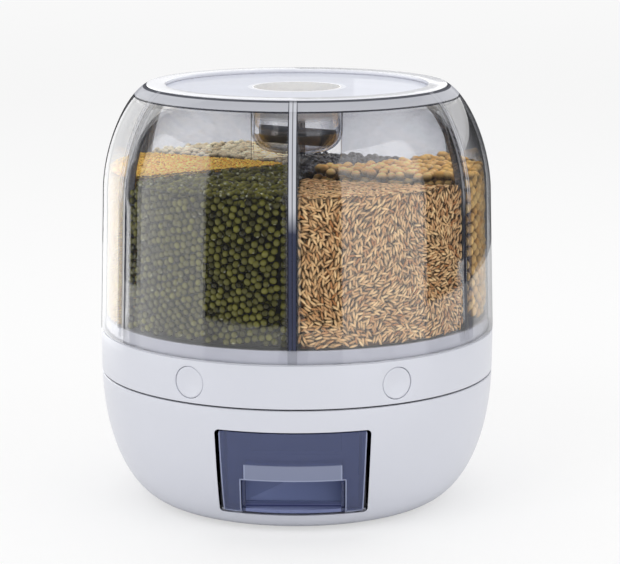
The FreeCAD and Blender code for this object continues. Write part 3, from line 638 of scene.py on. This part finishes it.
@dataclass
class Studio:
    """The floor, the lamps, the reflecting cards, the backdrop and the camera."""

    lens: float = 137.65
    place: Spot = (0.03832, -1.66454, 0.4755)
    pitch_down: float = 10.953
    turned_left: float = 1.0
    floor_half: float = 9.0
    floor_colour: Colour = (0.93, 0.93, 0.93)
    floor_whiteness: float = 0.55
    far_whiteness: float = 0.97
    floor_fade: tuple[float, float] = (2.5, 8.5)
    world_light: float = 0.86
    lamps: tuple[tuple[str, Spot, float, float], ...] = (
        ("key_softbox", (-1.1, -1.5, 1.7), 1.1, 7.0),
        ("fill_softbox", (1.4, -1.2, 1.1), 1.2, 3.0),
        ("top_softbox", (0.0, 0.3, 2.0), 1.4, 5.0),
    )
    cards: tuple[tuple[str, float, float, float, float, float, float], ...] = (
        ("left_card", -71.5, 47.0, 0.62, 0.0, 0.54, 1.5),
        ("right_card", 49.0, 49.2, 0.62, 0.0, 0.6, 1.5),
        ("left_back_card", -129.0, 42.0, 0.62, 0.0, 1.1, 2.3),
        ("back_card", 180.0, 130.0, 0.8, 0.36, 0.9, 1.1),
        ("back_right_card", 149.0, 56.0, 0.78, 0.36, 0.8, 1.6),
        ("flag_wall", 0.0, 359.9, 1.1, 0.0, 1.6, 0.1),
    )
    dim_ceiling: Spot = (1.6, 1.2, 0.16)
    aim_level: float = 0.15
    card_corner: float = 0.12
    card_steps: int = 48
    clear_layers: int = 40

    def build(self) -> None:
        """Builds everything round the object."""
        self.floor()
        self.world()
        for lamp in self.lamps:
            self.lamp(*lamp)
        for card in self.cards:
            self.card(*card)
        self.ceiling(*self.dim_ceiling)
        self.camera()
        scene = bpy.context.scene
        scene.view_settings.view_transform = "Standard"
        scene.cycles.transparent_max_bounces = self.clear_layers

    def floor(self) -> None:
        """Lays the pale floor."""
        bm = bmesh.new()
        bmesh.ops.create_grid(bm, x_segments=1, y_segments=1, size=self.floor_half)
        plane = put("studio_floor", mesh_from("studio_floor", bm))
        plane.data.materials.append(self.paper())

    def paper(self) -> bpy.types.Material:
        """Makes the floor's paper, which whitens towards the camera and keeps the shadow.

        Returns:
            The material.
        """
        bench = Bench("studio_paper")
        plain = bench.add("BsdfDiffuse", {"Color": self.floor_colour})
        white = bench.add("Emission", {"Strength": 1.0})
        whiteness = bench.spread(bench.at["r"], self.floor_whiteness, self.far_whiteness, *self.floor_fade)
        seen = bench.add("LightPath").outputs["Is Camera Ray"]
        return bench.finish(bench.mixed(bench.both(seen, whiteness), plain, white))

    def world(self) -> None:
        """Lights evenly from all round, and shows as white behind the object and in its gloss."""
        bench = Bench("studio_world", world=True)
        path = bench.add("LightPath").outputs
        seen = bench.either(path["Is Camera Ray"], path["Is Glossy Ray"], path["Is Transmission Ray"])
        strength = bench.spread(seen, self.world_light, 1.0)
        background = bench.add("Background", {"Color": (1.0, 1.0, 1.0), "Strength": strength})
        bpy.context.scene.world = bench.finish(background)

    def lamp(self, name: str, place: Spot, size: float, power: float) -> None:
        """Hangs a square softbox that faces the object.

        Args:
            name: The lamp's name.
            place: Where it hangs.
            size: Its side in metres.
            power: Its power in watts.
        """
        light = bpy.data.lights.new(name, "AREA")
        light.size = size
        light.energy = power
        lamp = put(name, light)
        lamp.location = place
        lamp.rotation_euler = (Vector((0, 0, self.aim_level)) - Vector(place)).to_track_quat("-Z", "Y").to_euler()
        lamp.visible_camera = lamp.visible_glossy = False

    def card(self, name: str, azimuth: float, span: float, distance: float, bottom: float, top: float,
             strength: float) -> None:
        """Stands a curved card with round upper corners, which shows only in gloss.

        Args:
            name: The card's name.
            azimuth: Its middle, in degrees from the front towards +X.
            span: How many degrees it covers.
            distance: Its distance from the axis in metres.
            bottom: Its lower edge.
            top: Its upper edge.
            strength: How bright it is.
        """
        bm = bmesh.new()
        bmesh.ops.create_grid(bm, x_segments=self.card_steps, y_segments=1, size=1)
        half = math.radians(span / 2)
        corner = self.card_corner
        for vert in bm.verts:
            angle = math.radians(azimuth) + vert.co.x * half
            past = max(0.0, (abs(vert.co.x) - 1) * half * distance + corner) if span < 180 else 0.0
            high = top - corner + math.sqrt(corner * corner - past * past)
            level = bottom + (vert.co.y + 1) / 2 * (high - bottom)
            vert.co = (distance * math.sin(angle), -distance * math.cos(angle), level)
        self.glow(name, bm, strength)

    def ceiling(self, level: float, half: float, strength: float) -> None:
        """Hangs a dim ceiling that shows only in gloss.

        Args:
            level: Its height.
            half: Half its side.
            strength: How bright it is.
        """
        bm = bmesh.new()
        bmesh.ops.create_grid(bm, x_segments=1, y_segments=1, size=half)
        bmesh.ops.translate(bm, verts=bm.verts, vec=(0, 0, level))
        self.glow("flag_ceiling", bm, strength)

    @staticmethod
    def glow(name: str, bm: bmesh.types.BMesh, strength: float) -> None:
        """Turns a mesh into a glowing card that only gloss shows.

        Args:
            name: The card's name.
            bm: The mesh, which is used up.
            strength: How bright it is.
        """
        bench = Bench(name + "_glow")
        mesh = mesh_from(name, bm)
        mesh.materials.append(bench.finish(bench.add("Emission", {"Strength": strength})))
        card = put(name, mesh)
        card.visible_camera = card.visible_diffuse = card.visible_shadow = card.visible_transmission = False

    def camera(self) -> None:
        """Sets the camera at the photograph's place and angle."""
        data = bpy.data.cameras.new("camera")
        data.lens = self.lens
        camera = put("camera", data)
        camera.location = self.place
        camera.rotation_euler = (math.radians(90 - self.pitch_down), 0, math.radians(self.turned_left))
        bpy.context.scene.camera = camera


@dataclass
class Dressing:
    """The finish of each CAD node, and smooth-shaded stand-ins for the glossy ones."""

    nodes: dict[str, bpy.types.Object]
    materials: dict[Finish, bpy.types.Material] = field(default_factory=dict)
    sharp_angle: float = 28.0
    weld: float = 0.004 * MM
    gate_travel: float = 0.012
    finishes: dict[Finish, str] = field(default_factory=lambda: {
        Finish.WHITE: "base_shell button", Finish.COLLAR: "collar", Finish.INNER_WHITE: "base_deck outlet_plate",
        Finish.BAY: "drawer_bay", Finish.FROSTED: "drum_floor hopper_ridges", Finish.CLEAR: "bin_shell",
        Finish.VANE: "divider_star", Finish.LID_WHITE: "lid_rim", Finish.LID_CLEAR: "lid_panel",
        Finish.DARK_SMOKY: "lid_grip", Finish.SMOKY: "drawer_box", Finish.SLIDE: "gate_slider ball_cage hub_bush",
        Finish.FOOT: "foot", Finish.SEAL: "shell_gasket lid_seal",
    })
    smooth: dict[str, tuple[str, str]] = field(default_factory=lambda: {
        "bin_shell": ("drum", "clear_plastic"), "lid_panel": ("lid", "clear_plastic"),
        "lid_rim": ("lid", "white_plastic"), "collar": ("drum", "white_plastic"),
        "base_shell": ("base", "white_plastic"), "drawer_box": ("drawer", "smoky_plastic"),
        "divider_star": ("drum", "clear_plastic"), "drum_floor": ("drum", "frosted_plastic"),
        "lid_grip": ("lid", "dark_smoky_plastic"),
    })

    def material(self, finish: Finish) -> bpy.types.Material:
        """Gives a finish's material, made once.

        Args:
            finish: The finish.

        Returns:
            The material.
        """
        if finish not in self.materials:
            self.materials[finish] = finish.value.make()
        return self.materials[finish]

    def finish_of(self, node: str) -> Finish:
        """Picks the finish of a node: by its name, by its family, or steel.

        Args:
            node: The node's name.

        Returns:
            The finish.
        """
        for finish, names in self.finishes.items():
            if any((node + "_").startswith(name + "_") for name in names.split()):
                return finish
        return Finish.STEEL

    def build(self) -> None:
        """Dresses every node."""
        for name, node in self.nodes.items():
            material = self.material(self.finish_of(name))
            node.data.materials.clear()
            node.data.materials.append(material)
            if name in self.smooth:
                self.smooth_copy(name, node, *self.smooth[name])
            elif name.startswith("button"):
                self.smooth_copy(name, node, "gate_" + name[-1], "white_plastic")
            elif name.startswith("gate_spring"):
                self.spring_copy(name, node)
            LOG.info("dressed %s in %s", name, material.name)

    def spring_copy(self, name: str, node: bpy.types.Object) -> None:
        """Replaces a return spring by a smooth copy that has a mesh of its own.

        Args:
            name: The node's name, which ends in the gate's number.
            node: The node's object.
        """
        skin = self.smooth_copy(name, node, "drum", "steel")
        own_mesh(skin)

    def smooth_copy(self, name: str, node: bpy.types.Object, body: str, slot: str) -> bpy.types.Object:
        """Replaces a node by a copy whose loose triangles are welded, so that it shades smoothly.

        Args:
            name: The node's name.
            node: The node's object.
            body: The body that it rides on.
            slot: The record's material slot; not used.

        Returns:
            The copy.
        """
        bm = bmesh.new()
        bm.from_mesh(node.data)
        bmesh.ops.remove_doubles(bm, verts=bm.verts, dist=self.weld)
        mesh = mesh_from(name + "_skin", bm)
        mesh.shade_smooth()
        mesh.set_sharp_from_angle(angle=math.radians(self.sharp_angle))
        mesh.materials.append(node.data.materials[0])
        skin = put(name + "_skin", mesh)
        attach(skin, body)
        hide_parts(name)
        return skin


class GrainShape(Enum):
    """The shapes that the foods come in."""

    ROUND = "round"
    BEAN = "bean"
    KERNEL = "kernel"
    SEED = "seed"


@dataclass(frozen=True)
class Food:
    """One kind of dry food, in millimetres, and how high it is heaped."""

    name: str
    shape: GrainShape
    length: float
    width: float
    thickness: float
    heap_centre: float
    heap_wall: float
    dark: Colour
    light: Colour
    mark: Colour
    # The colour of the painted shade in the gaps between grains.
    core: Colour
    layers: int = 2
    roughness: float = 0.4
    # Painted light: how much lighter the grains on top and at the wall are drawn.
    top_gain: float = 1.0
    wall_gain: float = 1.1
    bend: float = 0.28
    mark_strength: float = 0.8
    mark_edge: float = -0.47

    def template(self) -> Layer:
        """Models one grain, its long side along X.

        Returns:
            Its corner points in metres, its triangles, and how marked each point is.
        """
        bm = bmesh.new()
        if self.shape is GrainShape.KERNEL:
            bmesh.ops.create_uvsphere(bm, u_segments=6, v_segments=5, radius=0.5)
            bmesh.ops.rotate(bm, verts=bm.verts, matrix=Matrix.Rotation(math.pi / 2, 3, "Y"))
        else:
            bmesh.ops.create_icosphere(bm, subdivisions=1 if self.shape is GrainShape.SEED else 2, radius=0.5)
        marks = []
        for vert in bm.verts:
            x, y = vert.co[:2]
            if self.shape is GrainShape.BEAN:
                vert.co.y += self.bend * x * x
            marked = self.shape in (GrainShape.BEAN, GrainShape.ROUND) and y < self.mark_edge
            marks.append(self.mark_strength if marked else 0.0)
        bmesh.ops.scale(bm, vec=(self.length * MM, self.width * MM, self.thickness * MM), verts=bm.verts)
        bmesh.ops.triangulate(bm, faces=bm.faces)
        bm.verts.index_update()
        points = np.array([vert.co for vert in bm.verts])
        faces = np.array([[vert.index for vert in face.verts] for face in bm.faces])
        bm.free()
        return points, faces, np.array(marks)


FOODS = {
    1: Food("long_grain", GrainShape.KERNEL, 6.5, 2.2, 1.8, 229.0, 234.0, screen(180, 120, 62),
            screen(255, 218, 160), screen(170, 120, 72), screen(104, 66, 34), 3, 0.4, 1.6),
    2: Food("soy_bean", GrainShape.ROUND, 8.2, 7.4, 7.0, 234.0, 237.0, screen(218, 164, 80), screen(252, 216, 140),
            screen(180, 132, 76), screen(150, 104, 48), 2, 0.4, 2.1),
    3: Food("black_bean", GrainShape.BEAN, 7.0, 5.2, 4.8, 229.5, 227.0, screen(36, 33, 37), screen(80, 75, 81),
            screen(170, 166, 168), screen(22, 20, 22), 2, 0.2),
    4: Food("white_bean", GrainShape.BEAN, 6.4, 5.0, 4.6, 238.0, 237.0, screen(222, 200, 158),
            screen(252, 244, 210), screen(160, 130, 104), screen(150, 128, 100), 2, 0.4, 2.3),
    5: Food("millet", GrainShape.SEED, 2.1, 1.9, 1.8, 238.5, 237.5, screen(206, 138, 16), screen(255, 228, 112),
            screen(222, 184, 96), screen(190, 140, 44), 2, 0.4, 2.7),
    6: Food("green_bean", GrainShape.ROUND, 5.6, 5.0, 4.7, 238.0, 233.5, screen(42, 40, 9), screen(114, 112, 42),
            screen(206, 208, 180), screen(10, 11, 4), 2, 0.16, 1.6),
}


@dataclass
class Compartment:
    """The food in one compartment of the drum: loose grains at the wall and on top, round a plain core of painted
    shade.
    """

    number: int
    food: Food
    floor_level: float = 133.6
    shell_inner_foot: float = 136.9
    shell_lean: float = 0.0284
    shell_foot_level: float = 124.2
    wall_reach: float = 136.0
    vane_room: float = 3.3
    vane_room_inside: float = 1.5
    rib_start: float = 126.0
    column_room: float = 9.6
    core_room: float = 2.4
    layer_step: float = 0.85
    layer_shades: tuple[float, ...] = (1.0, 0.72, 0.48)
    top_layers: int = 2
    heap_reach: float = 134.0
    row_step: float = 0.87
    row_tilt: float = 0.31
    sway: float = 0.55
    waves: tuple[float, float, float, float] = (3.1, 5.3, 3.7, 4.9)
    jitter: float = 0.14
    crowding: float = 0.8
    tries_per_grain: int = 20
    unruliness: float = 0.5
    overlap: float = 0.5
    long_swing: Spot = (0.9, 17, 41)
    short_swing: Spot = (0.8, 13, 29)
    first_sunk: float = 0.55
    wall_room: float = 0.4
    wall_jitter: float = 0.15
    top_jitter: float = 0.25
    shade_middle: float = 0.22
    shade_rise: float = 0.9
    shade_limits: tuple[float, float] = (0.1, 1.05)
    core_drop: float = 1.0
    core_middle: float = 70.0
    core_steps: int = 16
    column_step: float = 0.97
    column_shift: float = 0.1
    column_lean: float = 0.16
    column_gap: float = 0.05
    wall_width: float = 160
    top_size: tuple[float, float] = (150, 140)
    shell_gap: float = 0.6
    wild: float = 0.3
    kernel_wild: float = 0.08
    sizes: tuple[float, float] = (0.92, 1.04)
    rng: np.random.Generator = field(init=False)

    def __post_init__(self) -> None:
        """Seeds the compartment's own random draws."""
        self.rng = np.random.default_rng(100 + self.number)

    def wall_radius(self, level: np.ndarray) -> np.ndarray:
        """Gives the clear shell's inner radius at each level, in millimetres."""
        return self.shell_inner_foot - (level - self.shell_foot_level) * self.shell_lean

    def heap(self, radius: np.ndarray) -> np.ndarray:
        """Gives the level of the heaped food at distances from the column."""
        centre, wall = self.food.heap_centre, self.food.heap_wall
        return centre + (wall - centre) * np.clip(radius / self.heap_reach, 0, 1) ** 2

    def lattice(self, width: float, height: float, first: np.ndarray) -> np.ndarray:
        """Strews round grains over a rectangle, close together but not quite in rows.

        Args:
            width: The rectangle's width.
            height: Its height.
            first: Grains that are there already.

        Returns:
            The places and turns, three numbers each.
        """
        pitch = math.sqrt(self.food.length * self.food.width)
        reach = math.hypot(width / 2, height) + 2 * pitch
        steps = np.arange(-reach, reach, pitch)
        grid_x, grid_y = np.meshgrid(steps, steps * self.row_step)
        grid_x = grid_x + (np.arange(len(steps)) % 2)[:, None] * pitch / 2
        tilt = self.row_tilt
        across = (grid_x * math.cos(tilt) - grid_y * math.sin(tilt)).ravel()
        up = (grid_x * math.sin(tilt) + grid_y * math.cos(tilt)).ravel()
        sway = self.sway * pitch
        one, two, three, four = (wave * pitch for wave in self.waves)
        across, up = (across + sway * np.sin(up / one) * np.cos(across / two),
                      up + sway * np.sin(across / three + 1) * np.cos(up / four))
        places = np.stack([across, up], axis=1)
        places += self.rng.uniform(-self.jitter, self.jitter, places.shape) * pitch
        places = places[(np.abs(places[:, 0]) < width / 2) & (places[:, 1] > 0) & (places[:, 1] < height)]
        loose = np.column_stack([places, self.rng.uniform(0, math.pi, len(places))])
        if len(first):
            near = np.hypot(loose[:, None, 0] - first[None, :, 0], loose[:, None, 1] - first[None, :, 1])
            loose = loose[near.min(axis=1) > self.crowding * pitch]
        return np.concatenate([first.reshape(-1, 3), loose])

    def windrow(self, width: float, height: float, first: np.ndarray) -> np.ndarray:
        """Strews long grains over a rectangle, side by side where they lie alike.

        Args:
            width: The rectangle's width.
            height: Its height.
            first: Grains that are there already.

        Returns:
            The places and turns, three numbers each.
        """
        length, thick = self.food.length, self.food.width
        tries = int(width * height / (length * thick) * self.tries_per_grain)
        across = self.rng.uniform(-width / 2, width / 2, tries)
        up = self.rng.uniform(0, height, tries)
        (most, wide, tall), (more, low, narrow) = self.long_swing, self.short_swing
        turn = most * np.sin(across / wide + 1 + up / tall) + more * np.sin(up / low + across / narrow)
        turn += self.rng.normal(0, self.unruliness, tries)
        tried = np.concatenate([first.reshape(-1, 3), np.column_stack([across, up, turn])]).tolist()
        cells: dict[tuple[int, int], list[tuple[float, float, float]]] = {}
        kept = []
        for x, y, angle in tried:
            column, row = int(x // length), int(y // length)
            near = [grain for i in (-1, 0, 1) for j in (-1, 0, 1) for grain in cells.get((column + i, row + j), ())]
            for other_x, other_y, other_angle in near:
                middle = (angle + other_angle) / 2
                along = (x - other_x) * math.sin(middle) + (y - other_y) * math.cos(middle)
                aside = (x - other_x) * math.cos(middle) - (y - other_y) * math.sin(middle)
                if (along / length) ** 2 + (aside / thick) ** 2 < self.overlap:
                    break
            else:
                cells.setdefault((column, row), []).append((x, y, angle))
                kept.append((x, y, angle))
        return np.array(kept)

    def strewn(self, width: float, height: float, first: np.ndarray) -> np.ndarray:
        """Strews grains over a rectangle in the way of their shape, round those that are there already."""
        return (self.windrow if self.food.shape is GrainShape.KERNEL else self.lattice)(width, height, first)

    def edge_columns(self, height: float, depth: float) -> np.ndarray:
        """Stands a column of grains against each of the two channels that close a compartment.

        Args:
            height: How high the columns are.
            depth: How far they stand behind the shell's wall.

        Returns:
            The places and turns, three numbers each.
        """
        up = np.arange(0, height, self.column_step * self.food.length)
        up = np.tile(up, 2) + self.rng.uniform(-self.column_shift, self.column_shift, 2 * len(up)) * self.food.length
        turn = self.rng.normal(0, self.column_lean, len(up))
        radius = self.wall_radius(self.floor_level + 0.5 * self.food.width + up) - depth
        off = (self.vane_room + self.sideways(turn) + self.column_gap) / radius
        across = (math.pi / 6 - np.arcsin(off)) * self.wall_reach
        across[: len(up) // 2] *= -1
        return np.column_stack([across, up, turn])

    def sideways(self, turn: np.ndarray) -> np.ndarray:
        """Gives how far a turned grain reaches to its side, in millimetres."""
        return np.hypot(self.food.length / 2 * np.sin(turn), self.food.width / 2 * np.cos(turn))

    def wall_layer(self, layer: int) -> Layer:
        """Places a layer of grains behind the shell's wall, in a compartment that faces the front.

        Args:
            layer: Its number from the wall inwards.

        Returns:
            The grains' places in millimetres, the wall's normals there, and the grains' directions.
        """
        height = self.food.heap_wall - self.floor_level + self.food.length
        sunk = self.wall_room + (self.first_sunk + self.layer_step * layer) * self.food.thickness
        edge = self.edge_columns(height, sunk + self.wall_jitter * self.food.thickness)
        flat = self.strewn(self.wall_width, height, edge)
        level = self.floor_level + 0.5 * self.food.width + flat[:, 1]
        jitter = self.rng.uniform(0, self.wall_jitter, len(level)) * self.food.thickness
        radius = self.wall_radius(level) - sunk - jitter
        angle = flat[:, 0] / self.wall_reach
        x, y, turn = radius * np.sin(angle), -radius * np.cos(angle), flat[:, 2]
        gap = radius * np.sin(math.pi / 6 - np.abs(angle))
        keep = gap > self.vane_room + self.sideways(turn)
        keep &= level < self.heap(radius) - 0.3 * self.food.thickness
        keep &= level > self.floor_level + self.sideways(turn + math.pi / 2)
        flat_part = np.zeros_like(angle)
        normal = np.stack([np.sin(angle), -np.cos(angle), flat_part], axis=1)
        aside = np.stack([np.cos(angle), np.sin(angle), flat_part], axis=1)
        along = aside * np.sin(turn)[:, None] + np.array([0, 0, 1.0]) * np.cos(turn)[:, None]
        return np.stack([x, y, level], axis=1)[keep], normal[keep], along[keep]

    def top_layer(self, layer: int) -> Layer:
        """Places a layer of grains over the top of the food, in a compartment that faces the front.

        Args:
            layer: Its number from the top down.

        Returns:
            The grains' places in millimetres, the surface's normals there, and the grains' directions.
        """
        flat = self.strewn(*self.top_size, np.empty((0, 3)))
        x, y, turn = flat[:, 0], -flat[:, 1], flat[:, 2]
        radius, angle = np.hypot(x, y), np.arctan2(x, -y)
        bumps = self.rng.uniform(-self.top_jitter, self.top_jitter, len(x)) - self.layer_step * layer
        level = self.heap(radius) + bumps * self.food.thickness
        room = np.where(radius > self.rib_start, self.vane_room, self.vane_room_inside) + 0.42 * self.food.length
        keep = (radius * np.sin(math.pi / 6 - np.abs(angle)) > room) & (np.abs(angle) < math.pi / 6)
        keep &= radius > self.column_room + 0.5 * self.food.length
        keep &= radius < self.wall_radius(level) - self.shell_gap - 0.55 * self.food.length
        normal = np.tile([0.0, 0.0, 1.0], (len(x), 1))
        along = np.stack([np.sin(turn), np.cos(turn), np.zeros_like(turn)], axis=1)
        return np.stack([x, y, level], axis=1)[keep], normal[keep], along[keep]

    def strew(self, name: str, layers: list[Layer], material: bpy.types.Material, gain: float) -> None:
        """Makes one mesh out of many grains and hands it to the drum.

        Args:
            name: The piece's name.
            layers: The layers' places, normals and directions, the outermost first.
            material: The food's material.
            gain: How much lighter than written the grains are drawn, as painted light.
        """
        points, faces, marks = self.food.template()
        places, normals, along = (np.concatenate([layer[i] for layer in layers]) for i in range(3))
        layer_shade = np.concatenate([np.full(len(layer[0]), self.layer_shades[i]) for i, layer in enumerate(layers)])
        count = len(places)
        wild = self.kernel_wild if self.food.shape is GrainShape.KERNEL else self.wild
        flat = normals + self.rng.normal(0, wild, (count, 3))
        flat /= np.linalg.norm(flat, axis=1, keepdims=True)
        along = along - flat * np.sum(along * flat, axis=1, keepdims=True)
        along /= np.linalg.norm(along, axis=1, keepdims=True)
        turns = np.stack([along, np.cross(flat, along), flat], axis=2)
        turns = turns * self.rng.uniform(*self.sizes, count)[:, None, None]
        offsets = np.einsum("nij,vj->nvi", turns, points)
        # Painted shade: each grain darker on its far side and in deeper layers; the gain adds painted light.
        outward = np.einsum("nvi,ni->nv", offsets, normals) / (0.5 * self.food.thickness * MM)
        lit = np.clip(self.shade_middle + self.shade_rise * outward, *self.shade_limits)
        shade = lit * layer_shade[:, None] * gain
        corners = offsets + places[:, None, :] * MM
        azimuth = bay_azimuth(self.number)
        spin = np.array([[math.cos(azimuth), -math.sin(azimuth), 0],
                         [math.sin(azimuth), math.cos(azimuth), 0], [0, 0, 1]])
        corners = corners.reshape(-1, 3) @ spin.T
        triangles = (faces[None] + np.arange(count)[:, None, None] * len(points)).reshape(-1, 3)
        mesh = bpy.data.meshes.new(name)
        mesh.from_pydata(corners.tolist(), [], triangles.tolist(), shade_flat=False)
        tone = np.repeat(np.clip(self.rng.normal(0.5, 0.25, count), 0, 1), len(points))
        for key, values in (("tone", tone), ("mark", np.tile(marks, count)), ("shade", shade.ravel())):
            mesh.attributes.new(key, "FLOAT", "POINT").data.foreach_set("value", values.astype(np.float32))
        mesh.materials.append(material)
        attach(put(name, mesh), "drum")
        LOG.info("strewed %s: %d grains, %d triangles", name, count, len(triangles))

    def core(self, name: str) -> None:
        """Fills the middle of a compartment with a plain wedge in the dark colour of the gaps between grains, as
        painted shade.

        Args:
            name: The piece's name.
        """
        bm = bmesh.new()
        skin = self.layer_step * self.food.layers * self.food.thickness
        near = self.column_room + 2
        foot, brow = self.wall_radius(np.array([self.floor_level, self.food.heap_wall])) - self.wall_room - skin
        outline = [(near, self.floor_level), (foot, self.floor_level)]
        outline += [(brow, self.food.heap_wall - skin - self.core_drop)]
        outline += [(r, float(self.heap(np.array(r))) - skin - self.core_drop) for r in (self.core_middle, near)]
        face = bm.faces.new([bm.verts.new((0, -r * MM, z * MM)) for r, z in outline])
        span = math.radians(60 - 2 * self.core_room)
        turn = Matrix.Rotation(bay_azimuth(self.number) - span / 2, 3, "Z")
        bmesh.ops.rotate(bm, verts=bm.verts, matrix=turn)
        bmesh.ops.spin(bm, geom=[face], cent=(0, 0, 0), axis=(0, 0, 1), angle=span, steps=self.core_steps,
                       use_merge=False, use_duplicate=False)
        bmesh.ops.recalc_face_normals(bm, faces=bm.faces)
        mesh = mesh_from(name, bm)
        mesh.materials.append(SoftRubber(name + "_shade", self.food.core).make())
        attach(put(name, mesh), "drum")

    def build(self) -> None:
        """Fills the compartment."""
        food, name = self.food, self.food.name
        skin = FoodSkin(name + "_skin", food.dark, food.light, food.mark, food.roughness).make()
        walls = [self.wall_layer(layer) for layer in range(food.layers)]
        self.strew(name + "_wall", walls, skin, food.wall_gain)
        tops = [self.top_layer(layer) for layer in range(self.top_layers)]
        self.strew(name + "_top", tops, skin, food.top_gain)
        self.core(name + "_core")


def main() -> None:
    """Builds the studio, the dressed nodes and the food, in that order."""
    logging.basicConfig(level=logging.INFO, format="%(message)s")
    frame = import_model()
    Studio().build()
    Dressing(frame["nodes"]).build()
    for number, food in FOODS.items():
        Compartment(number, food).build()


if __name__ == "__main__":
    main()
